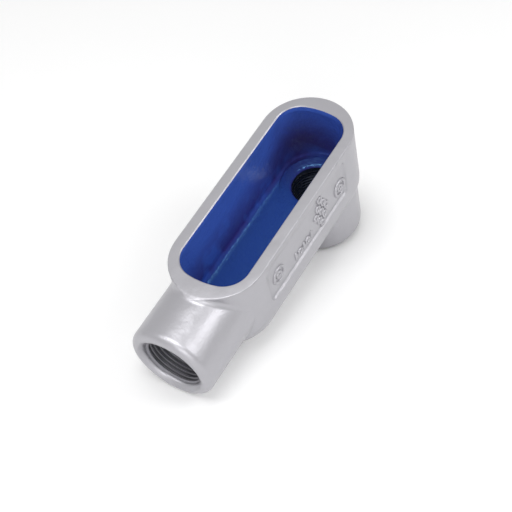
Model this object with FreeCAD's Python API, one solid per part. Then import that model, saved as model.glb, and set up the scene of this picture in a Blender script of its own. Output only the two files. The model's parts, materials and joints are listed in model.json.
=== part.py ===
"""Threaded conduit body: one hub on the end, one hub in the back, open cover side up.

Millimetres. Z points out of the cover opening, X runs along the body away from the end hub.
The origin is on the back hub's axis, where its thread starts behind the countersunk mouth: a
conduit screws in there from below.
The whole body is one iron casting, so it is one solid. The helical threads are not cut here.
"""
import math
import os

import FreeCAD
import Part

from FreeCAD import Vector

# ---- hubs, both of one trade size -------------------------------------------
THREAD_RADIUS = 13.2       # wall of the threaded bore, at the thread's root
HUB_WALL = 6.0             # iron outside the thread
HUB_LIP_ROUND = 3.5        # outer edge of a hub's mouth
HUB_BLEND = 3.0            # casting fillet where a hub leaves the body
MOUTH_FLARE = 2.0          # the countersunk mouth is this much wider than the thread
MOUTH_DEPTH = 2.4
BUSHING_STEP = 2.4         # shoulder that stops the conduit's end
BUSHING_WEB = 3.6          # length of the smooth throat behind the shoulder
BUSHING_EASE = 1.2         # eased edge on the cavity side, kind to the wires
END_HUB_REACH = 23.7       # end hub's face beyond the rim's tip
BACK_HUB_REACH = 21.1      # back hub's face below the underside

# ---- body round the hubs ----------------------------------------------------
SIDE_STEP = 1.8            # each side of the body stands proud of a hub by this
TOP_STEP = 1.0             # cover seat above the top of the end hub
UNDERSIDE_STEP = 1.1       # underside below the bottom of the end hub
FAR_STEP = 1.5             # far tip of the rim beyond the back hub
RIM_LENGTH = 115.5         # cover seat, tip to tip
RIM_THICKNESS = 3.6        # plain band round the top, above the side pads
RIM_EDGE_BREAK = 0.4       # broken outer edge of the cover seat
BOTTOM_ROUND = 10.5        # side and end walls into the underside

# ---- recessed side pads, one on each side -----------------------------------
PAD_RECESS = 0.8           # how far the pad lies inside the rim's outline
PAD_NEAR_MARGIN = 2.5      # from the end-hub end of the body's flat side to the pad
PAD_FAR_MARGIN = 4.5       # and at the flat side's other end
PAD_HEIGHT = 20.8          # from the rim band down to the ledge
PAD_CORNER = 3.0

# ---- cover opening and cavity -----------------------------------------------
SIDE_LAND = 5.2            # width of the cover seat along the sides
NEAR_LAND = 7.7            # and at the end-hub tip
FAR_LAND = 6.9             # and at the other tip
OPENING_CORNER = 11.0      # round corners of the opening
OPENING_BOW = 35.0         # radius of the slight outward bow of its two ends
LIP_THICKNESS = 2.8        # the lip that overhangs the cavity
LIP_EDGE_BREAK = 0.4       # broken inner edge of the cover seat
SIDE_WALL = 3.3            # wall behind a side pad
END_WALL = 3.8             # wall at the two tips
FLOOR_WALL = 5.4
FLOOR_ROUND = 3.2          # cavity walls into the floor
POCKET_DEPTH = 0.6         # round seat sunk in the floor above the back hub
POCKET_MARGIN = 0.7        # from the seat's edge to the cavity's side

# ---- sizes and places worked out from those above ---------------------------
HUB_RADIUS = THREAD_RADIUS + HUB_WALL
MOUTH_RADIUS = THREAD_RADIUS + MOUTH_FLARE
BUSHING_RADIUS = THREAD_RADIUS - BUSHING_STEP
RIM_HALF_WIDTH = HUB_RADIUS + SIDE_STEP
BODY_DEPTH = TOP_STEP + 2 * HUB_RADIUS + UNDERSIDE_STEP
OPENING_HALF_WIDTH = RIM_HALF_WIDTH - SIDE_LAND
CAVITY_HALF_WIDTH = RIM_HALF_WIDTH - PAD_RECESS - SIDE_WALL
POCKET_RADIUS = CAVITY_HALF_WIDTH - POCKET_MARGIN
UNDERSIDE_Z = BACK_HUB_REACH - MOUTH_DEPTH
RIM_Z = UNDERSIDE_Z + BODY_DEPTH
FAR_TIP_X = HUB_RADIUS + FAR_STEP
NEAR_TIP_X = FAR_TIP_X - RIM_LENGTH
PAD_NEAR_X = NEAR_TIP_X + RIM_HALF_WIDTH + PAD_NEAR_MARGIN
PAD_FAR_X = FAR_TIP_X - RIM_HALF_WIDTH - PAD_FAR_MARGIN
PAD_TOP_Z = RIM_Z - RIM_THICKNESS
PAD_LOW_Z = PAD_TOP_Z - PAD_HEIGHT
FLOOR_Z = UNDERSIDE_Z + FLOOR_WALL
POCKET_Z = FLOOR_Z - POCKET_DEPTH
END_MOUTH = Vector(NEAR_TIP_X - END_HUB_REACH, 0, RIM_Z - TOP_STEP - HUB_RADIUS)
END_AXIS = Vector(1, 0, 0)     # from the mouth into the body
BACK_MOUTH = Vector(0, 0, -MOUTH_DEPTH)
BACK_AXIS = Vector(0, 0, 1)
MARGIN = 12.0              # spare length on tools and blanks that are trimmed off


def face_from(edges):
    """A flat face from edges given in order."""
    return Part.Face(Part.Wire(edges))


def stadium(half_width, near_x, far_x, z):
    """A flat face with straight sides and two half-round ends."""
    near_c = near_x + half_width
    far_c = far_x - half_width
    near_top, near_low = Vector(near_c, half_width, z), Vector(near_c, -half_width, z)
    far_top, far_low = Vector(far_c, half_width, z), Vector(far_c, -half_width, z)
    return face_from([
        Part.LineSegment(near_low, far_low).toShape(),
        Part.Arc(far_low, Vector(far_x, 0, z), far_top).toShape(),
        Part.LineSegment(far_top, near_top).toShape(),
        Part.Arc(near_top, Vector(near_x, 0, z), near_low).toShape(),
    ])


def upright_edges(shape):
    """The straight edges that run along Z."""
    return [e for e in shape.Edges if len(e.Vertexes) == 2 and is_upright(e)]


def is_upright(edge):
    start, end = (v.Point for v in edge.Vertexes)
    return math.hypot(start.x - end.x, start.y - end.y) < 1e-6


def edges_at_height(shape, z):
    """The edges that lie in one horizontal plane."""
    return [e for e in shape.Edges if abs(e.BoundBox.ZMin - z) < 1e-4 and abs(e.BoundBox.ZMax - z) < 1e-4]


def opening_tool():
    """The cover opening: straight sides, slightly bowed ends, round corners."""
    near_x = NEAR_TIP_X + NEAR_LAND
    far_x = FAR_TIP_X - FAR_LAND
    bow_rise = OPENING_BOW - math.sqrt(OPENING_BOW ** 2 - OPENING_HALF_WIDTH ** 2)
    z = RIM_Z - LIP_THICKNESS
    half = OPENING_HALF_WIDTH
    far_low, far_top = Vector(far_x - bow_rise, -half, z), Vector(far_x - bow_rise, half, z)
    near_low, near_top = Vector(near_x + bow_rise, -half, z), Vector(near_x + bow_rise, half, z)
    blank = face_from([
        Part.LineSegment(near_low, far_low).toShape(),
        Part.Arc(far_low, Vector(far_x, 0, z), far_top).toShape(),
        Part.LineSegment(far_top, near_top).toShape(),
        Part.Arc(near_top, Vector(near_x, 0, z), near_low).toShape(),
    ]).extrude(Vector(0, 0, LIP_THICKNESS))
    return blank.makeFillet(OPENING_CORNER, upright_edges(blank))


def cavity_tool():
    """The space under the lip: wider than the opening, with a round seat over the back hub."""
    height = RIM_Z - LIP_THICKNESS - FLOOR_Z
    blank = stadium(CAVITY_HALF_WIDTH, NEAR_TIP_X + END_WALL, FAR_TIP_X - END_WALL, FLOOR_Z)
    blank = blank.extrude(Vector(0, 0, height))
    cavity = blank.makeFillet(FLOOR_ROUND, edges_at_height(blank, FLOOR_Z))
    pocket = Part.makeCylinder(POCKET_RADIUS, FLOOR_ROUND + POCKET_DEPTH, Vector(0, 0, POCKET_Z))
    return cavity.fuse(pocket)


def stood_at(shape, mouth, axis):
    """Place a shape made along +Z so that it starts at a hub's mouth and runs along its axis."""
    shape.Placement = FreeCAD.Placement(mouth, FreeCAD.Rotation(Vector(0, 0, 1), axis))
    return shape


def turned(edges):
    """Turn a closed profile, drawn in the XZ plane, about the Z axis."""
    return face_from(edges).revolve(Vector(0, 0, 0), Vector(0, 0, 1), 360)


def lines_through(points):
    """Straight edges from each point to the next; a point is (radius, height)."""
    corners = [Vector(r, 0, h) for r, h in points]
    return [Part.LineSegment(a, b).toShape() for a, b in zip(corners, corners[1:])]


def lip_point(degrees):
    """A point on the round edge of a hub's mouth, turned this far from the mouth's face."""
    angle = math.radians(degrees)
    centre_radius = HUB_RADIUS - HUB_LIP_ROUND
    return Vector(centre_radius + HUB_LIP_ROUND * math.sin(angle), 0, HUB_LIP_ROUND * (1 - math.cos(angle)))


def hub_blank(mouth, axis, length):
    """The outside of a hub: a round bar with a rounded edge at its mouth."""
    lip = [Part.Arc(*(lip_point(first + step) for step in (0, 22.5, 45))).toShape() for first in (0, 45)]
    face_edge = lines_through([(0, 0), (HUB_RADIUS - HUB_LIP_ROUND, 0)])
    rest = lines_through([(HUB_RADIUS, HUB_LIP_ROUND), (HUB_RADIUS, length), (0, length), (0, 0)])
    return stood_at(turned(face_edge + lip + rest), mouth, axis)


def hub_bore(mouth, axis, depth):
    """The inside of a hub, turned from one profile; depth is from its mouth to the cavity.

    Countersink, threaded bore, shoulder, then a throat with an eased inner edge.
    """
    shoulder = depth - BUSHING_WEB
    clear_radius = BUSHING_RADIUS + BUSHING_EASE
    outline = [
        (0, -MARGIN),
        (MOUTH_RADIUS, -MARGIN),
        (MOUTH_RADIUS, 0),
        (THREAD_RADIUS, MOUTH_DEPTH),
        (THREAD_RADIUS, shoulder),
        (BUSHING_RADIUS, shoulder),
        (BUSHING_RADIUS, depth - BUSHING_EASE),
        (clear_radius, depth),
        (clear_radius, depth + MARGIN),
        (0, depth + MARGIN),
    ]
    return stood_at(turned(lines_through(outline + outline[:1])), mouth, axis)


def radius_from(axis_point, axis, point):
    """Distance from a point to a line."""
    return (point - axis_point).cross(axis).Length


def junction_edges(shape, axis_point, axis, mouth):
    """The edges where a hub's bar meets the body: on the bar, but away from its mouth."""
    found = []
    for edge in shape.Edges:
        first, last = edge.ParameterRange
        samples = [edge.valueAt(first + (last - first) * k / 4) for k in range(5)]
        on_bar = all(abs(radius_from(axis_point, axis, p) - HUB_RADIUS) < 1e-3 for p in samples)
        if on_bar and min((p - mouth).dot(axis) for p in samples) > HUB_LIP_ROUND + 1:
            found.append(edge)
    return found


def blended_outside():
    """Body and hubs before hollowing, with casting fillets round the foot of each hub."""
    height = BODY_DEPTH + MARGIN
    body = stadium(RIM_HALF_WIDTH, NEAR_TIP_X, FAR_TIP_X, UNDERSIDE_Z).extrude(Vector(0, 0, height))
    body = body.makeFillet(BOTTOM_ROUND, edges_at_height(body, UNDERSIDE_Z))
    into_body = RIM_HALF_WIDTH
    end = hub_blank(END_MOUTH, END_AXIS, END_HUB_REACH + into_body)
    back = hub_blank(BACK_MOUTH, BACK_AXIS, BACK_HUB_REACH + into_body)
    whole = body.fuse([end, back]).removeSplitter()
    foot = junction_edges(whole, END_MOUTH, END_AXIS, END_MOUTH)
    foot += junction_edges(whole, BACK_MOUTH, BACK_AXIS, BACK_MOUTH)
    return whole.makeFillet(HUB_BLEND, foot)


def trimmed_outside():
    """Cut the blank level under the rim's round, and cap it with the plain rim band."""
    blank = blended_outside()
    seam_z = RIM_Z - RIM_EDGE_BREAK
    size = RIM_LENGTH + END_HUB_REACH + 2 * MARGIN
    corner = Vector(END_MOUTH.x - MARGIN, -size / 2, seam_z)
    above = Part.makeBox(size, size, 2 * MARGIN, corner)
    band_z = RIM_Z - RIM_THICKNESS
    band = stadium(RIM_HALF_WIDTH, NEAR_TIP_X, FAR_TIP_X, band_z).extrude(Vector(0, 0, RIM_THICKNESS))
    band = band.makeChamfer(RIM_EDGE_BREAK, edges_at_height(band, RIM_Z))
    return blank.cut(above).fuse(band)


def pad_tool(side):
    """One side pad: a shallow rounded rectangle sunk below the rim band; side is +1 or -1.

    Its border slopes at 45 degrees from the pad out to the body's flat side, so that the
    pattern leaves the sand; the lower border is the ledge.
    """
    outside = 2 * PAD_RECESS
    y = side * (RIM_HALF_WIDTH - PAD_RECESS) + min(side, 0) * outside
    tool = Part.makeBox(PAD_FAR_X - PAD_NEAR_X, outside, PAD_HEIGHT, Vector(PAD_NEAR_X, y, PAD_LOW_Z))
    ends = [e for e in tool.Edges if abs(e.BoundBox.YLength - outside) < 1e-4]
    rounded = tool.makeFillet(PAD_CORNER, ends)
    pad_edges = [e for e in rounded.Edges if lies_at_width(e, RIM_HALF_WIDTH - PAD_RECESS)]
    return rounded.makeChamfer(PAD_RECESS, pad_edges)


def lies_at_width(edge, half_width):
    """True for an edge in the upright plane this far from the middle, on either side."""
    box = edge.BoundBox
    return box.YLength < 1e-4 and abs(abs(box.YMin) - half_width) < 1e-4


def conduit_body():
    """The finished casting."""
    end_depth = END_HUB_REACH + END_WALL
    voids = [
        cavity_tool(),
        opening_tool(),
        hub_bore(END_MOUTH, END_AXIS, end_depth),
        hub_bore(BACK_MOUTH, BACK_AXIS, POCKET_Z - BACK_MOUTH.z),
        pad_tool(1),
        pad_tool(-1),
    ]
    casting = trimmed_outside().cut(voids).removeSplitter()
    seat = [e for e in edges_at_height(casting, RIM_Z) if inside_opening(e)]
    return casting.makeChamfer(LIP_EDGE_BREAK, seat)


def inside_opening(edge):
    """True for the opening's own edges on the cover seat."""
    box = edge.BoundBox
    reach_y = OPENING_HALF_WIDTH + LIP_EDGE_BREAK
    near_x, far_x = NEAR_TIP_X + NEAR_LAND, FAR_TIP_X - FAR_LAND
    return box.YMax < reach_y and box.YMin > -reach_y and box.XMin > near_x - 1 and box.XMax < far_x + 1


def main():
    os.makedirs("parts", exist_ok=True)
    conduit_body().exportStep("parts/conduit_body.step")


if __name__ == "__main__":
    main()
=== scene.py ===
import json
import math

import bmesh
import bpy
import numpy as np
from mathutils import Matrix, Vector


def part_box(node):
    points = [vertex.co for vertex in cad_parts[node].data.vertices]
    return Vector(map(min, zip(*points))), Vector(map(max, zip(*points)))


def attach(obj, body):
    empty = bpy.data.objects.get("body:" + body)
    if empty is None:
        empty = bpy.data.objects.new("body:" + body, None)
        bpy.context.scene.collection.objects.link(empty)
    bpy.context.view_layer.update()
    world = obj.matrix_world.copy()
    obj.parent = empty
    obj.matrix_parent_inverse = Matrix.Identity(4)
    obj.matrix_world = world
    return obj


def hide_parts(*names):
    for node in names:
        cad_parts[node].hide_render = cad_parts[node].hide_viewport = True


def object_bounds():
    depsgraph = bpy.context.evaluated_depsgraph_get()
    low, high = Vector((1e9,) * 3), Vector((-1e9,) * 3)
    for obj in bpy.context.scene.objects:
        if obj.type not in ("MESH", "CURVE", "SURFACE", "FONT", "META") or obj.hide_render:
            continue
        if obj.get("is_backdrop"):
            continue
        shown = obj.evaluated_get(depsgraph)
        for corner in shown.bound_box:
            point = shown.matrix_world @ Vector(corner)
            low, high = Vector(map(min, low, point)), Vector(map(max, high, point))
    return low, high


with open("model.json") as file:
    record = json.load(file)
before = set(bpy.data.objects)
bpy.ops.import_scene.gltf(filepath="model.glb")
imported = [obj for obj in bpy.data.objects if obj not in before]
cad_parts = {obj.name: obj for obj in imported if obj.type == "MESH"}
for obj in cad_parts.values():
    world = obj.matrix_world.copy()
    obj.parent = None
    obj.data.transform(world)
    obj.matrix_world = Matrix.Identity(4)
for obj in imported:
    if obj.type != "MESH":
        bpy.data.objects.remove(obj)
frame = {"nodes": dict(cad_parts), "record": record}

# %% [markdown]
# # A conduit body, cast in iron
#
# A conduit body is the corner piece of an electrical pipe run: wires come in through one threaded
# hub, turn inside the oval box and leave through the other. It is a single iron casting, painted
# with aluminium outside and coated with blue enamel inside, and its threads are cut last.
#
# The measured shape comes from the imported frame, so nothing is fitted here by eye. This lesson
# dresses it: a camera, a floor and lamps, then the casting's skin, the cut threads, the cast
# marks on its sides, and one finish for each way in which a surface was made, with painted shade
# in the blue enamel, in the back bore and on the floor beside the back hub.

MM = 0.001
cad_low, cad_high = (tuple(corner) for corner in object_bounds())
print("solid model, mm:", [round((b - a) / MM, 2) for a, b in zip(cad_low, cad_high)])

# %% [markdown]
# ## Sizes
#
# Every place below is worked out from the frame: the two threaded mounts give the bores, the
# cover seat gives the level of the rim, and the node's box gives the width. Only what neither of
# them says is written down, as the pattern maker drew it: how far the hubs stand out, how thick
# the iron is and where the recessed pad on each side begins and ends.

# %% Sizes of the casting
record = frame["record"]
mounts = {mount["name"]: mount for mount in record["mounts"]}
end_bore, back_bore = mounts["end_hub"], mounts["back_hub"]
low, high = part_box("conduit_body")

ROOT_RADIUS = end_bore["dims"]["r_mm"] * MM
END_AXIS_Z = end_bore["pos_m"][2]
HUB_WALL = 6.0 * MM
HUB_RADIUS = ROOT_RADIUS + HUB_WALL
HUB_LIP_ROUND = 3.5 * MM      # outer edge of a hub's mouth
MOUTH_DEPTH = 2.4 * MM        # the countersunk cone in front of each thread
END_HUB_REACH = 23.7 * MM     # end hub's face beyond the rim's tip
BACK_HUB_REACH = 21.1 * MM    # back hub's face below the underside
BUSHING_WEB = 3.6 * MM        # the smooth throat behind each thread
BUSHING_EASE = 1.2 * MM       # and its eased edge on the cavity side

RIM_Z = mounts["cover_seat"]["pos_m"][2]
RIM_HALF_WIDTH = high.y
NEAR_TIP_X = low.x + END_HUB_REACH
NEAR_CENTRE_X = NEAR_TIP_X + RIM_HALF_WIDTH
FAR_CENTRE_X = high.x - RIM_HALF_WIDTH
UNDERSIDE_Z = low.z + BACK_HUB_REACH
CAVITY_FLOOR_Z = UNDERSIDE_Z + 5.4 * MM
END_SHOULDER_X = end_bore["pos_m"][0] + end_bore["dims"]["length_mm"] * MM
BACK_SHOULDER_Z = back_bore["pos_m"][2] + back_bore["dims"]["length_mm"] * MM
LIP_BREAK = 0.4 * MM          # broken inner edge of the cover seat

PAD_RECESS = 0.8 * MM         # the pad's border slopes at 45 degrees, so it is this wide as well
RIM_THICKNESS = 3.6 * MM
PAD_HEIGHT = 20.8 * MM
PAD_Y = RIM_HALF_WIDTH - PAD_RECESS
PAD_LOW_Z = RIM_Z - RIM_THICKNESS - PAD_HEIGHT
SLACK = 0.1 * MM              # a wall's flat facets lie less than this off it


def from_spine(x, y):
    """Distance from the line that joins the centres of the rim's two half rounds."""
    return np.hypot(x - np.clip(x, NEAR_CENTRE_X, FAR_CENTRE_X), y)


print("hub radius, mm:", round(HUB_RADIUS / MM, 2), "rim level, mm:", round(RIM_Z / MM, 2))

# %% [markdown]
# ## Camera
#
# Something this small looks right from above one end through a long lens, which keeps parallel
# edges nearly parallel. The camera could be turned with three angles of its own; here it is placed
# by the point that it aims at, the direction that it looks from and a small roll, as somebody at
# the tripod would note it down.

# %% Camera
AIM = Vector((-70.15, -17.03, 64.68)) * MM
FROM_AZIMUTH, FROM_ELEVATION, ROLL = (math.radians(a) for a in (-48.44, 52.49, -13.75))
DISTANCE = 517.3 * MM
LENS_MM = 90.78
SENSOR_MM = 36.0
NEAREST_SEEN, FARTHEST_SEEN = 10 * MM, 20.0


def direction(azimuth, elevation):
    """Unit vector towards a place in the sky; azimuth 0 is towards -Y, and 90 degrees towards +X."""
    flat = math.cos(elevation)
    return Vector((math.sin(azimuth) * flat, -math.cos(azimuth) * flat, math.sin(elevation)))


camera = bpy.data.objects.new("camera", bpy.data.cameras.new("camera"))
camera.data.lens = LENS_MM
camera.data.sensor_width = SENSOR_MM
camera.data.clip_start = NEAREST_SEEN
camera.data.clip_end = FARTHEST_SEEN
back = direction(FROM_AZIMUTH, FROM_ELEVATION)
level_right = Vector((0, 0, 1)).cross(back).normalized()
level_up = back.cross(level_right)
right = math.cos(ROLL) * level_right + math.sin(ROLL) * level_up
up = back.cross(right)
turn = Matrix((right, up, back)).transposed()
camera.matrix_world = Matrix.Translation(AIM + DISTANCE * back) @ turn.to_4x4()
bpy.context.scene.collection.objects.link(camera)
bpy.context.scene.camera = camera
bpy.context.scene.view_settings.view_transform = "Standard"
print("camera at, mm:", [round(c / MM, 1) for c in camera.matrix_world.translation])

# %% [markdown]
# ## Colours and nodes
#
# A hex colour is written for the eye, while the renderer adds light up on a linear scale, so one
# function turns the first into the second. One more adds a node with its settings and its links,
# which keeps each finish below a short list of what the surface does.
#
# An input goes by its name, or by its number where a node has several of one name. A Map Range node
# takes 0 as its value, which runs from 1 to 2 and comes out from 3 to 4, or from 0 to 1 if they are
# left alone. A Mix node of colours goes from 6 to 7 by 0, and its result is output 2.

# %% Colours and nodes


def linear(code):
    """sRGB hex to linear RGBA: c/12.92 up to 0.04045, and ((c + 0.055)/1.055)^2.4 above."""
    values = [int(code[i:i + 2], 16) / 255 for i in (1, 3, 5)]
    return (*(c / 12.92 if c <= 0.04045 else ((c + 0.055) / 1.055) ** 2.4 for c in values), 1.0)


def add(material, kind, inputs=None, **settings):
    """Add one node. An input is a plain value, or an output socket of another node to link from."""
    node = material.node_tree.nodes.new(kind)
    for name, value in settings.items():
        setattr(node, name, value)
    for key, value in (inputs or {}).items():
        if isinstance(value, bpy.types.NodeSocket):
            material.node_tree.links.new(value, node.inputs[key])
        else:
            node.inputs[key].default_value = value
    return node


def new_material(name):
    """An empty node material and its output node."""
    material = bpy.data.materials.new(name)
    material.use_nodes = True
    material.node_tree.nodes.clear()
    return material, add(material, "ShaderNodeOutputMaterial")


print("a half grey to the eye, as light:", round(linear("#808080")[0], 3))

# %% [markdown]
# ## Floor and air
#
# The casting is laid down on its back hub, and as that hub is longer than the body is deep it
# tips over until the end hub's lip meets the table too. Both lips have the same round, so the
# floor is the plane that touches both rounds from below, and the soft shadow meets them there.
#
# The floor looks white because of its own colour to the camera, not because of more light on the
# casting. What it adds there is a glow; the part that comes from the lamps still dims under the
# casting, and that is the shadow. Round the back hub's bore the glow fades out up to twice the
# hub's radius: under the hub the floor is seen down through the bore, and beyond it the fade is a
# painted shadow that darkens the floor beside the back hub.

# %% Floor
FLOOR_REACH = 0.9
lip_ring = HUB_RADIUS - HUB_LIP_ROUND
end_lip = Vector((low.x + HUB_LIP_ROUND, 0, END_AXIS_Z - lip_ring))
back_lip = Vector((-lip_ring, 0, low.z + HUB_LIP_ROUND))
along = (back_lip - end_lip).normalized()
across = Vector((0, 1, 0))
floor_up = along.cross(across)
floor_mid = (end_lip + back_lip) / 2 - HUB_LIP_ROUND * floor_up
SQUARE = ((-1, -1), (1, -1), (1, 1), (-1, 1))
corners = [floor_mid + FLOOR_REACH * (u * along + v * across) for u, v in SQUARE]
floor_mesh = bpy.data.meshes.new("floor")
floor_mesh.from_pydata([tuple(c) for c in corners], [], [(0, 1, 2, 3)])
floor = bpy.data.objects.new("floor", floor_mesh)
bpy.context.scene.collection.objects.link(floor)
floor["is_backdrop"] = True
print("the floor leans, degrees:", round(math.degrees(math.asin(-along.z)), 1))

# %% The floor's paper


def background_rays(material):
    """1 for rays that show the background: camera, glossy and transmission rays, and 0 for the rest."""
    path = add(material, "ShaderNodeLightPath")
    direct = add(material, "ShaderNodeMath",
                 {0: path.outputs["Is Camera Ray"], 1: path.outputs["Is Glossy Ray"]}, operation="MAXIMUM")
    both = add(material, "ShaderNodeMath",
               {0: direct.outputs[0], 1: path.outputs["Is Transmission Ray"]}, operation="MAXIMUM")
    return both.outputs[0]


FLOOR_GLOW = 0.14        # what the camera sees of the floor apart from lamp light
# Between these the floor's glow fades: a painted shadow beside the back hub.
PAINTED_SHADOW_INNER, PAINTED_SHADOW_OUTER = 0.7 * HUB_RADIUS, 2.0 * HUB_RADIUS      # the glow fades in between these

# Matt white paper from a roll: it has no gloss at all, and from below it isn't there.
paper, paper_out = new_material("matt_white_paper_sweep")
paper_lit = add(paper, "ShaderNodeBsdfDiffuse", {"Color": linear("#f2f2f2")})
paper_place = add(paper, "ShaderNodeTexCoord")
from_bore = add(paper, "ShaderNodeVectorMath",
                {0: paper_place.outputs["Object"], 1: (0, 0, low.z)}, operation="DISTANCE")
# Painted shadow: the glow is taken away round the back hub.
glow_with_hub_shadow = add(paper, "ShaderNodeMapRange",
                 {0: from_bore.outputs["Value"], 1: PAINTED_SHADOW_INNER, 2: PAINTED_SHADOW_OUTER, 4: FLOOR_GLOW})
paper_glow = add(paper, "ShaderNodeEmission",
                 {"Color": linear("#ffffff"), "Strength": glow_with_hub_shadow.outputs[0]})
paper_both = add(paper, "ShaderNodeAddShader", {0: paper_lit.outputs[0], 1: paper_glow.outputs[0]})
paper_seen = add(paper, "ShaderNodeMixShader",
                 {0: background_rays(paper), 1: paper_lit.outputs[0], 2: paper_both.outputs[0]})
under = add(paper, "ShaderNodeNewGeometry")
see_through = add(paper, "ShaderNodeBsdfTransparent")
paper_final = add(paper, "ShaderNodeMixShader",
                  {0: under.outputs["Backfacing"], 1: paper_seen.outputs[0], 2: see_through.outputs[0]})
paper.node_tree.links.new(paper_final.outputs[0], paper_out.inputs["Surface"])
floor_mesh.materials.append(paper)
print("the floor's glow is full from, mm:", round(PAINTED_SHADOW_OUTER / MM, 1))

# %% [markdown]
# ## Light
#
# The room is plain and bright, and four soft lamps stand in it. The wide one overhead lights the
# rim and gives the shadow that falls to the right. The square one on the right is what the paint
# and the enamel mirror: the bright patch down the hub, the line along the cavity's floor and the
# glint over the back hub all come from that single box. A wide one in front opens up the face of
# the end hub and the near side, and a narrow strip far to the left draws thin bright lines on the
# rounded edges.
#
# One lamp would be simpler, but satin metal shows what stands round it more than how much light
# falls on it, so each lamp has a place to be seen in.

# %% World
AIR = 0.60               # strength of the room's light on the casting
BACKGROUND = 1.0         # and what the camera and the mirrors see of the room, which is white
world = bpy.data.worlds.new("white_room")
bpy.context.scene.world = world
world.use_nodes = True
world.node_tree.nodes.clear()
world_strength = add(world, "ShaderNodeMix",
                     {0: background_rays(world), 2: AIR, 3: BACKGROUND}, data_type="FLOAT")
world_light = add(world, "ShaderNodeBackground", {"Strength": world_strength.outputs[0]})
add(world, "ShaderNodeOutputWorld", {"Surface": world_light.outputs[0]})
print("the room's light on the casting:", AIR)

# %% Lamps
MIDDLE = (Vector(cad_low) + Vector(cad_high)) / 2


def soft_box(name, azimuth, elevation, distance, width, height, watts):
    """A rectangular lamp that faces the casting's middle from a direction given in degrees."""
    lamp = bpy.data.lights.new(name, "AREA")
    lamp.shape = "RECTANGLE"
    lamp.size, lamp.size_y, lamp.energy = width, height, watts
    towards = direction(math.radians(azimuth), math.radians(elevation))
    box = bpy.data.objects.new(name, lamp)
    box.location = MIDDLE + distance * towards
    box.rotation_euler = towards.to_track_quat("Z", "Y").to_euler()
    bpy.context.scene.collection.objects.link(box)
    print(name, "stands at, mm:", [round(c / MM) for c in box.location])


soft_box("overhead_softbox", azimuth=-60, elevation=85, distance=0.9, width=0.5, height=0.5, watts=3.45)
soft_box("side_softbox", azimuth=31, elevation=39, distance=0.8, width=0.36, height=0.36, watts=1.35)
soft_box("front_fill", azimuth=-60, elevation=34, distance=0.9, width=0.5, height=0.5, watts=1.6)
soft_box("rear_strip", azimuth=-134, elevation=58, distance=0.9, width=0.20, height=0.06, watts=0.6)

# %% [markdown]
# ## The casting's skin
#
# The solid model comes in as loose triangles. A copy is merged into one skin, and then each edge is
# either rolled smooth or kept crisp. A casting has hardly an edge that isn't rounded, so only steep
# ones stay crisp, and a little less steep ones at two places that somebody worked on: the lip of
# the cover seat, which is ground flat, and the ledge under each side pad. Weighted normals then
# keep the flat faces flat to the eye while the rounds roll smoothly.
#
# A sculpted or remeshed skin would soften everything alike; this way the cover seat stays true.

# %% Merge the skin
MERGE = 0.002 * MM
CRISP_ANGLE, WORKED_ANGLE = math.radians(50), math.radians(30)
LIP_REACH = RIM_HALF_WIDTH - 3 * MM      # what lies nearer to the spine is inside the opening
EDGE_BAND = 1.0 * MM                     # an edge this near to a mouth or to the seat belongs to it


def stays_smooth(edge):
    """True for an edge whose two faces are shaded as one rolling surface."""
    spot = edge.verts[0].co
    at_mouth = min(spot.x - low.x, spot.z - low.z) < EDGE_BAND
    at_lip = spot.z > RIM_Z - EDGE_BAND and from_spine(spot.x, spot.y) < LIP_REACH
    at_ledge = abs(spot.y) > PAD_Y - SLACK and abs(spot.z - PAD_LOW_Z) < PAD_RECESS + SLACK
    limit = WORKED_ANGLE if at_lip or at_ledge else CRISP_ANGLE
    return at_mouth or edge.calc_face_angle(0.0) < limit


skin = bpy.data.meshes.new("casting")
shell = bmesh.new()
shell.from_mesh(frame["nodes"]["conduit_body"].data)
bmesh.ops.remove_doubles(shell, verts=shell.verts, dist=MERGE)
bmesh.ops.recalc_face_normals(shell, faces=shell.faces)
for face in shell.faces:
    face.smooth = True
for edge in shell.edges:
    edge.smooth = stays_smooth(edge)
shell.to_mesh(skin)
open_edges = sum(1 for edge in shell.edges if len(edge.link_faces) != 2)
print("skin faces:", len(shell.faces), "open edges:", open_edges)
shell.free()

# %% Place the skin
casting = bpy.data.objects.new("casting", skin)
bpy.context.scene.collection.objects.link(casting)
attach(casting, "root")
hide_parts("conduit_body")
weigh = casting.modifiers.new("weighted_normals", "WEIGHTED_NORMAL")
weigh.keep_sharp = True
print("crisp edges:", sum(1 for edge in skin.edges if edge.use_edge_sharp))

# %% [markdown]
# ## Closed surfaces
#
# The threads and the cast marks are new surfaces. Each one is a grid of points worked out as whole
# arrays from a formula of two parameters, and the same few lines turn every grid into a piece.

# %% Grids and pieces


def grid_faces(rows, columns, columns_meet=True):
    """Quads of a grid whose last row meets its first; point (i, j) has number i*columns + j.

    Where the columns meet too, the grid is a closed tube; otherwise its two outer columns are poles.
    """
    gaps = columns if columns_meet else columns - 1
    i, j = np.meshgrid(np.arange(rows), np.arange(gaps), indexing="ij")
    next_i, next_j = (i + 1) % rows, (j + 1) % columns
    quads = (i * columns + j, i * columns + next_j, next_i * columns + next_j, next_i * columns + j)
    return np.stack(quads, -1).reshape(-1, 4)


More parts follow.
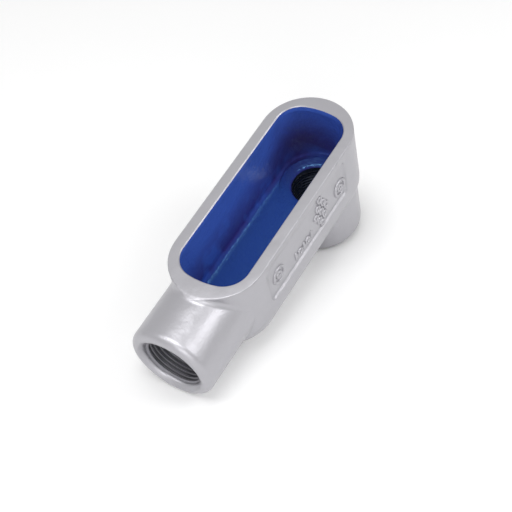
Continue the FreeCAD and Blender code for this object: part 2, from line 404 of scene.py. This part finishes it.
def mesh_piece(name, shapes):
    """A smooth piece at the origin from a list of (points, quads); doubled points become one."""
    starts = np.cumsum([0] + [len(points) for points, _ in shapes])
    all_points = np.concatenate([points for points, _ in shapes])
    all_faces = np.concatenate([faces + start for start, (_, faces) in zip(starts, shapes)])
    mesh = bpy.data.meshes.new(name)
    mesh.from_pydata(all_points.tolist(), [], all_faces.tolist())
    closed = bmesh.new()
    closed.from_mesh(mesh)
    bmesh.ops.remove_doubles(closed, verts=closed.verts, dist=0.001 * MM)
    bmesh.ops.recalc_face_normals(closed, faces=closed.faces)
    for face in closed.faces:
        face.smooth = True
    closed.to_mesh(mesh)
    loose = sum(1 for edge in closed.edges if len(edge.link_faces) != 2)
    print(name, "faces:", len(closed.faces), "open edges:", loose)
    closed.free()
    piece = bpy.data.objects.new(name, mesh)
    bpy.context.scene.collection.objects.link(piece)
    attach(piece, "root")
    return piece


# %% [markdown]
# ## Threads
#
# A thread is one ridge wound round the bore, one pitch forward for each turn. The bore's wall is
# drawn again as a surface of two parameters, the angle round the axis and the distance along it:
# its radius dips inwards where the ridge is. Cutting the ridge with a screw modifier would leave
# two open ends, while here it simply fades out near the mouth and the shoulder, as a tap leaves it.

# %% Thread surface
PITCH = 25.4 / 14 * MM       # fourteen turns to the inch, the pipe thread of this bore
RIDGE = 1.15 * MM
ROOT_GAP = 0.05 * MM         # the thread's root stands this much inside the solid's wall
BACK_GAP = 0.01 * MM         # and the back of the ring this much
AROUND, PER_TURN = 144, 14
MOUTH_FADE, SHOULDER_FADE = 0.4 * PITCH, 0.9 * PITCH
CREST, FLANK = 1.1, 2.5      # the ridge's height before its crest is cut off, and its flanks' slope


def ease(t):
    """0 below 0, 1 above 1 and the smooth step 3t^2 - 2t^3 between."""
    t = np.clip(t, 0, 1)
    return t * t * (3 - 2 * t)


def thread_band(name, mount, phase):
    """A closed ring with a helical ridge inside.

    Radius = root - ridge * tooth(s/pitch - angle/turn), where s runs along the bore. The tooth
    folds its share of a turn to a triangle wave, crest - flank * |share - 0.5|, and eases that
    between 0 and 1, so that root and crest are flat and the flanks are rounded.
    """
    start, inward = Vector(mount["pos_m"]), -Vector(mount["axis"])
    length, root = mount["dims"]["length_mm"] * MM, mount["dims"]["r_mm"] * MM
    rows = int(length / PITCH * PER_TURN)
    s = np.linspace(0.0, length, rows)[:, None]
    angle = np.linspace(0, 2 * math.pi, AROUND, endpoint=False)[None, :]
    share = (s / PITCH - angle / (2 * math.pi) + phase) % 1.0
    tooth = ease(CREST - FLANK * np.abs(share - 0.5))
    fade = ease(s / MOUTH_FADE) * ease((length - s) / SHOULDER_FADE)
    radius = root - ROOT_GAP - RIDGE * tooth * fade

    side = Vector((0, 1, 0))
    upward = inward.cross(side)
    outward = np.cos(angle)[..., None] * np.array(side) + np.sin(angle)[..., None] * np.array(upward)
    axis = np.array(start) + s[..., None] * np.array(inward)
    ridged = axis + radius[..., None] * outward
    behind = axis + (root - BACK_GAP) * outward
    points = np.concatenate([ridged, behind[::-1]]).reshape(-1, 3)
    return mesh_piece(name, [(points, grid_faces(2 * rows, AROUND))])


# %% Threads
end_thread = thread_band("end_hub_thread", end_bore, 0.0)
back_thread = thread_band("back_hub_thread", back_bore, 0.3)

# %% [markdown]
# ## Cast marks on the side pads
#
# The recessed pad on each side carries low marks that the sand mould leaves. Here they are plain
# ones with no wording: a double ring at each end of the pad, three upright ribs with small rings
# between them, and a cluster of small rings in staggered rows. Each mark is a closed shell whose
# lower half sits inside the iron, so it meets the pad with no gap. A ring is a flat torus, and a
# rib is a superellipsoid: an ellipsoid whose outline is pushed out towards a rectangle, which is
# how a cut stroke comes out of sand. A displaced skin could show the same marks, but would need
# far more faces to keep them this crisp.

# %% Shapes of the marks
RELIEF = 0.75 * MM           # how far a mark stands out of its pad
TORUS_AROUND, TORUS_TUBE = 48, 14
RIB_AROUND, RIB_LEVELS = 32, 9
SQUARISH = 0.6               # 1 would be an ellipse, and 0 a rectangle
LATTICE = np.arange(-3, 4)   # rows and columns that are tried for the cluster
ROW_PITCH = 0.87             # rows of a staggered lattice, by the pitch along a row


def flat_torus(x, z, side, ring, tube):
    """(x + (ring + tube cos v) cos u, pad + relief sin v, z + (ring + tube cos v) sin u)."""
    u, v = np.meshgrid(np.arange(TORUS_AROUND) * 2 * math.pi / TORUS_AROUND,
                       np.arange(TORUS_TUBE) * 2 * math.pi / TORUS_TUBE, indexing="ij")
    reach = ring + tube * np.cos(v)
    points = np.stack([x + reach * np.cos(u), side * (PAD_Y + RELIEF * np.sin(v)),
                       z + reach * np.sin(u)], -1)
    return points.reshape(-1, 3), grid_faces(TORUS_AROUND, TORUS_TUBE)


def upright_rib(x, z, side, half_width, half_height):
    """(x + a C(u) cos v, pad + relief sin v, z + b S(u) cos v), where C and S are cosine and sine
    whose size is raised to a power below 1, so that the outline is a rounded rectangle."""
    u, v = np.meshgrid(np.arange(RIB_AROUND) * 2 * math.pi / RIB_AROUND,
                       np.linspace(-0.5, 0.5, RIB_LEVELS) * math.pi, indexing="ij")
    squarish_cos = np.sign(np.cos(u)) * np.abs(np.cos(u)) ** SQUARISH
    squarish_sin = np.sign(np.sin(u)) * np.abs(np.sin(u)) ** SQUARISH
    points = np.stack([x + half_width * squarish_cos * np.cos(v), side * (PAD_Y + RELIEF * np.sin(v)),
                       z + half_height * squarish_sin * np.cos(v)], -1)
    return points.reshape(-1, 3), grid_faces(RIB_AROUND, RIB_LEVELS, columns_meet=False)


def staggered_places(middle, reach, pitch):
    """Centres ((column + half of row mod 2) * pitch, row * 0.87 * pitch) that fall inside an ellipse."""
    row, column = np.meshgrid(LATTICE, LATTICE, indexing="ij")
    sideways = (column + 0.5 * (row % 2)) * pitch
    upward = row * ROW_PITCH * pitch
    inside = (sideways / reach[0]) ** 2 + (upward / reach[1]) ** 2 < 1
    return list(zip(middle[0] + sideways[inside], middle[1] + upward[inside]))


# %% Marks on both sides
DOUBLE_RING_PLACES = ((-62.6 * MM, 44.2 * MM), (-9.9 * MM, 42.0 * MM))
OUTER_RING = (3.9 * MM, 0.8 * MM)        # radius of a ring's middle line, and half its stroke
INNER_RING = (1.5 * MM, 0.7 * MM)
SMALL_RING = (1.4 * MM, 0.6 * MM)
RIB_HALF_SIZE = (0.9 * MM, 2.5 * MM)
ROW_Z = 39.8 * MM
RIB_PLACES = (-49.0 * MM, -42.5 * MM, -36.0 * MM)
BETWEEN_RIBS = (-45.7 * MM, -39.2 * MM)
CLUSTER_MIDDLE, CLUSTER_REACH = (-26.3 * MM, 44.5 * MM), (7.0 * MM, 8.0 * MM)
CLUSTER_PITCH = 4.3 * MM


def pad_marks(side):
    """All the marks of one side as a list of closed shells."""
    double_rings = [flat_torus(x, z, side, *size)
                    for size in (OUTER_RING, INNER_RING) for x, z in DOUBLE_RING_PLACES]
    ribs = [upright_rib(x, ROW_Z, side, *RIB_HALF_SIZE) for x in RIB_PLACES]
    small_places = [(x, ROW_Z) for x in BETWEEN_RIBS]
    small_places += staggered_places(CLUSTER_MIDDLE, CLUSTER_REACH, CLUSTER_PITCH)
    return double_rings + ribs + [flat_torus(x, z, side, *SMALL_RING) for x, z in small_places]


near_marks = mesh_piece("pad_marks_near_side", pad_marks(-1))
far_marks = mesh_piece("pad_marks_far_side", pad_marks(1))

# %% [markdown]
# ## Aluminium paint
#
# The outside is sprayed with aluminium paint: fine flakes of metal that lie flat in a clear binder.
# It reads as a soft satin metal, neither a mirror nor a grey plastic, so it is mostly metallic and
# fairly rough. The coat hides nothing of the casting under it. Two noises make that iron: a slow
# wave from a wooden pattern that was finished by hand, and the grain of the sand. Real moulding
# sand is about 0.3 mm; the grain is drawn coarser, so that it still shows at this distance.

# %% Aluminium paint
CASTING_WAVE, CASTING_WAVE_DEPTH = 11 * MM, 0.9 * MM
SAND_GRAIN, SAND_GRAIN_DEPTH = 1.2 * MM, 0.12 * MM
paint, paint_out = new_material("aluminium_paint_on_sand_casting")
paint_place = add(paint, "ShaderNodeTexCoord")
wave = add(paint, "ShaderNodeTexNoise",
           {"Vector": paint_place.outputs["Object"], "Scale": 1 / CASTING_WAVE, "Detail": 2.0})
grain = add(paint, "ShaderNodeTexNoise",
            {"Vector": paint_place.outputs["Object"], "Scale": 1 / SAND_GRAIN, "Detail": 4.0})
wave_bump = add(paint, "ShaderNodeBump",
                {"Strength": 0.5, "Distance": CASTING_WAVE_DEPTH, "Height": wave.outputs["Fac"]})
grain_bump = add(paint, "ShaderNodeBump",
                 {"Strength": 0.6, "Distance": SAND_GRAIN_DEPTH, "Height": grain.outputs["Fac"],
                  "Normal": wave_bump.outputs[0]})
paint_body = add(paint, "ShaderNodeBsdfPrincipled",
                 {"Base Color": linear("#b1b0b5"), "Metallic": 0.8, "Roughness": 0.39,
                  "Normal": grain_bump.outputs[0]})
paint.node_tree.links.new(paint_body.outputs[0], paint_out.inputs["Surface"])
print("sand grain, mm:", round(SAND_GRAIN / MM, 2))

# %% [markdown]
# ## Blue enamel
#
# Inside, the casting is coated with a thick glossy enamel, which keeps the iron from chafing the
# wires. Its colour carries painted light and shade: faces turned up get a darker blue and the
# upright walls a lighter one, so the floor, lit more from overhead, is no brighter than the walls;
# low on the walls a painted shade turns the blue violet in patches, and a darker painted shade
# fills the far corner, where no lamp reaches. A mix by the surface's own normal and place gives
# these. Painting them by hand on a texture would work too, but only from the views in which
# somebody had looked at them.

# %% The enamel's colour
FACING_SHADE_FROM, FACING_SHADE_FULL = 0.3, 0.95     # how far a face is turned up, from 0 to 1
LOW_SHADE_TOP_Z, LOW_SHADE_BOTTOM_Z = 46 * MM, 27 * MM
PATCH_SIZE = 12 * MM
PATCH_FROM, PATCH_FULL = 0.35, 0.55
FAR_CORNER = (9 * MM, 10 * MM, 36 * MM)
CORNER_SHADE_EDGE, CORNER_SHADE_HEART, CORNER_SHADE_MOST = 22 * MM, 3 * MM, 0.9
enamel, enamel_out = new_material("blue_enamel_baked_on_iron")
enamel_place = add(enamel, "ShaderNodeTexCoord")
facing = add(enamel, "ShaderNodeSeparateXYZ", {0: enamel_place.outputs["Normal"]})
# Painted light and shade: faces turned up get a darker blue and upright walls a lighter one, so the floor,
# lit more from overhead, is no brighter than the walls.
facing_up_shade = add(enamel, "ShaderNodeMapRange", {0: facing.outputs["Z"], 1: FACING_SHADE_FROM, 2: FACING_SHADE_FULL})
coat = add(enamel, "ShaderNodeMix",
           {0: facing_up_shade.outputs[0], 6: linear("#496bc7"), 7: linear("#2b4891")}, data_type="RGBA")
height = add(enamel, "ShaderNodeSeparateXYZ", {0: enamel_place.outputs["Object"]})
low_down = add(enamel, "ShaderNodeMapRange", {0: height.outputs["Z"], 1: LOW_SHADE_TOP_Z, 2: LOW_SHADE_BOTTOM_Z})
upright = add(enamel, "ShaderNodeMath", {0: 1.0, 1: facing_up_shade.outputs[0]}, operation="SUBTRACT")
patches = add(enamel, "ShaderNodeTexNoise",
              {"Vector": enamel_place.outputs["Object"], "Scale": 1 / PATCH_SIZE, "Detail": 2.0})
patchy = add(enamel, "ShaderNodeMapRange", {0: patches.outputs["Fac"], 1: PATCH_FROM, 2: PATCH_FULL})
# Painted shade: low on the upright walls, in patches, the blue is mixed towards violet where the walls lie
# in shade.
upright_low_shade = add(enamel, "ShaderNodeMath",
               {0: low_down.outputs[0], 1: upright.outputs[0]}, operation="MULTIPLY")
low_shade = add(enamel, "ShaderNodeMath",
           {0: upright_low_shade.outputs[0], 1: patchy.outputs[0]}, operation="MULTIPLY")
coat_low_shaded = add(enamel, "ShaderNodeMix",
                {0: low_shade.outputs[0], 6: coat.outputs[2], 7: linear("#453f88")}, data_type="RGBA")
# Painted shade: round the far corner, where no lamp reaches, the blue is mixed towards a dark violet.
from_corner = add(enamel, "ShaderNodeVectorMath",
                  {0: enamel_place.outputs["Object"], 1: FAR_CORNER}, operation="DISTANCE")
corner_shade = add(enamel, "ShaderNodeMapRange",
              {0: from_corner.outputs["Value"], 1: CORNER_SHADE_EDGE, 2: CORNER_SHADE_HEART, 4: CORNER_SHADE_MOST})
coat_corner = add(enamel, "ShaderNodeMix",
                  {0: corner_shade.outputs[0], 6: coat_low_shaded.outputs[2], 7: linear("#3a2c5c")}, data_type="RGBA")
print("thin enamel below, mm:", round(LOW_SHADE_TOP_Z / MM, 1))

# %% The enamel's gloss
RUN_SIZE, RUN_DEPTH = 5 * MM, 0.6 * MM               # slow runs of the coat
RIPPLE_SIZE, RIPPLE_DEPTH = 1.6 * MM, 0.25 * MM      # orange peel from the baking
runs = add(enamel, "ShaderNodeTexNoise",
           {"Vector": enamel_place.outputs["Object"], "Scale": 1 / RUN_SIZE, "Detail": 2.0})
ripple = add(enamel, "ShaderNodeTexNoise",
             {"Vector": enamel_place.outputs["Object"], "Scale": 1 / RIPPLE_SIZE, "Detail": 2.0})
run_bump = add(enamel, "ShaderNodeBump",
               {"Strength": 0.5, "Distance": RUN_DEPTH, "Height": runs.outputs["Fac"]})
ripple_bump = add(enamel, "ShaderNodeBump",
                  {"Strength": 1.0, "Distance": RIPPLE_DEPTH, "Height": ripple.outputs["Fac"],
                   "Normal": run_bump.outputs[0]})
enamel_body = add(enamel, "ShaderNodeBsdfPrincipled",
                  {"Base Color": coat_corner.outputs[2], "Roughness": 0.13, "Specular IOR Level": 0.75,
                   "Specular Tint": linear("#86ccff"), "Normal": ripple_bump.outputs[0]})
enamel.node_tree.links.new(enamel_body.outputs[0], enamel_out.inputs["Surface"])
print("enamel ripple, mm:", round(RIPPLE_SIZE / MM, 2))

# %% [markdown]
# ## Cut iron
#
# The threads are tapped after the coats are on, so their iron is bare. A tap tears cast iron a
# little as it cuts, which leaves it grey and unevenly matt. That is the end hub's thread. The one
# in the back, and the throat above it, are given a dark blue-grey instead: a painted shade for
# the inside of a bore, and their roughness changes in patches over a few millimetres.

# %% Bare iron
NOISE_LOW, NOISE_HIGH = 0.3, 0.7     # nearly all of a noise's values lie between these
TORN_SIZE, TORN_DEPTH = 0.9 * MM, 0.08 * MM
TORN_SMOOTH, TORN_ROUGH = 0.32, 0.48
bare, bare_out = new_material("tapped_bare_iron")
bare_place = add(bare, "ShaderNodeTexCoord")
torn = add(bare, "ShaderNodeTexNoise",
           {"Vector": bare_place.outputs["Object"], "Scale": 1 / TORN_SIZE, "Detail": 3.0})
torn_rough = add(bare, "ShaderNodeMapRange",
                 {0: torn.outputs["Fac"], 1: NOISE_LOW, 2: NOISE_HIGH, 3: TORN_SMOOTH, 4: TORN_ROUGH})
torn_bump = add(bare, "ShaderNodeBump",
                {"Strength": 0.5, "Distance": TORN_DEPTH, "Height": torn.outputs["Fac"]})
bare_body = add(bare, "ShaderNodeBsdfPrincipled",
                {"Base Color": linear("#86858b"), "Metallic": 0.9, "Roughness": torn_rough.outputs[0],
                 "Normal": torn_bump.outputs[0]})
bare.node_tree.links.new(bare_body.outputs[0], bare_out.inputs["Surface"])
print("torn grain of the cut iron, mm:", round(TORN_SIZE / MM, 2))

# %% Dark iron, painted shade in the back bore
FILM_SIZE, FILM_DEPTH = 2.5 * MM, 0.1 * MM
FILM_SMOOTH, FILM_ROUGH = 0.22, 0.38
shaded_iron, shaded_iron_out = new_material("tapped_iron_painted_dark_shade")
shaded_iron_place = add(shaded_iron, "ShaderNodeTexCoord")
film = add(shaded_iron, "ShaderNodeTexNoise",
           {"Vector": shaded_iron_place.outputs["Object"], "Scale": 1 / FILM_SIZE, "Detail": 2.0})
film_rough = add(shaded_iron, "ShaderNodeMapRange",
                 {0: film.outputs["Fac"], 1: NOISE_LOW, 2: NOISE_HIGH, 3: FILM_SMOOTH, 4: FILM_ROUGH})
film_bump = add(shaded_iron, "ShaderNodeBump",
                {"Strength": 0.5, "Distance": FILM_DEPTH, "Height": film.outputs["Fac"]})
# The dark base colour is a painted shade: the back bore and its throat lie in shade.
shaded_iron_body = add(shaded_iron, "ShaderNodeBsdfPrincipled",
                 {"Base Color": linear("#27303f"), "Metallic": 0.5, "Roughness": film_rough.outputs[0],
                  "Normal": film_bump.outputs[0]})
shaded_iron.node_tree.links.new(shaded_iron_body.outputs[0], shaded_iron_out.inputs["Surface"])
print("oil film patches, mm:", round(FILM_SIZE / MM, 2))

# %% [markdown]
# ## Who gets which finish
#
# Each face of the skin belongs to one finish, and its own middle point says which: whether it lies
# within a bore, within the cavity or its throats, or outside. Measuring with the same values that
# place the bores keeps every border on a real edge of the casting, with no mask drawn by hand.

# %% Give each face its finish
PAINTED, ENAMELLED, BARE, DARK_SHADED = range(4)
for material in (paint, enamel, bare, shaded_iron):
    skin.materials.append(material)
centres = np.empty(len(skin.polygons) * 3)
skin.polygons.foreach_get("center", centres)
x, y, z = centres.reshape(-1, 3).T
from_end_axis, from_back_axis = np.hypot(y, z - END_AXIS_Z), np.hypot(x, y)
THROAT_REACH = ROOT_RADIUS - MM          # wider than a throat, narrower than a thread
CAVITY_LOW_Z = UNDERSIDE_Z + 4.0 * MM    # under the cavity's floor, above the round of the outside
THROAT_TOP_Z = BACK_SHOULDER_Z + BUSHING_WEB - BUSHING_EASE

in_cavity = from_spine(x, y) < LIP_REACH
in_cavity &= (z > CAVITY_LOW_Z) & (z < RIM_Z - LIP_BREAK + SLACK)
in_throats = (from_end_axis < THROAT_REACH) & (x > END_SHOULDER_X - SLACK) & (x < NEAR_CENTRE_X)
in_throats |= (from_back_axis < THROAT_REACH) & (z > BACK_SHOULDER_Z - SLACK) & (z < CAVITY_FLOOR_Z)
in_end_bore = (x > low.x + MOUTH_DEPTH - SLACK) & (x < END_SHOULDER_X + SLACK)
in_end_bore &= from_end_axis < ROOT_RADIUS + SLACK
in_back_bore = (z > low.z + MOUTH_DEPTH - SLACK) & (z < BACK_SHOULDER_Z + SLACK)
in_back_bore &= from_back_axis < ROOT_RADIUS + SLACK
in_cavity = (in_cavity | in_throats) & ~in_end_bore & ~in_back_bore
# The back hub's throat gets the dark iron too, as painted shade.
in_back_throat = in_cavity & (from_back_axis < THROAT_REACH) & (z < THROAT_TOP_Z)
finish = np.select([in_end_bore, in_back_bore | in_back_throat, in_cavity],
                   [BARE, DARK_SHADED, ENAMELLED], PAINTED)
skin.polygons.foreach_set("material_index", finish.astype(np.int32))
print("faces painted, enamelled, bare, oiled:", [int((finish == k).sum()) for k in range(4)])

# %% Finish the other pieces
end_thread.data.materials.append(bare)
# The back thread gets the dark iron: painted shade inside the back bore.
back_thread.data.materials.append(shaded_iron)
for piece in (near_marks, far_marks):
    piece.data.materials.append(paint)
print("pieces dressed:", [piece.name for piece in (end_thread, back_thread, near_marks, far_marks)])
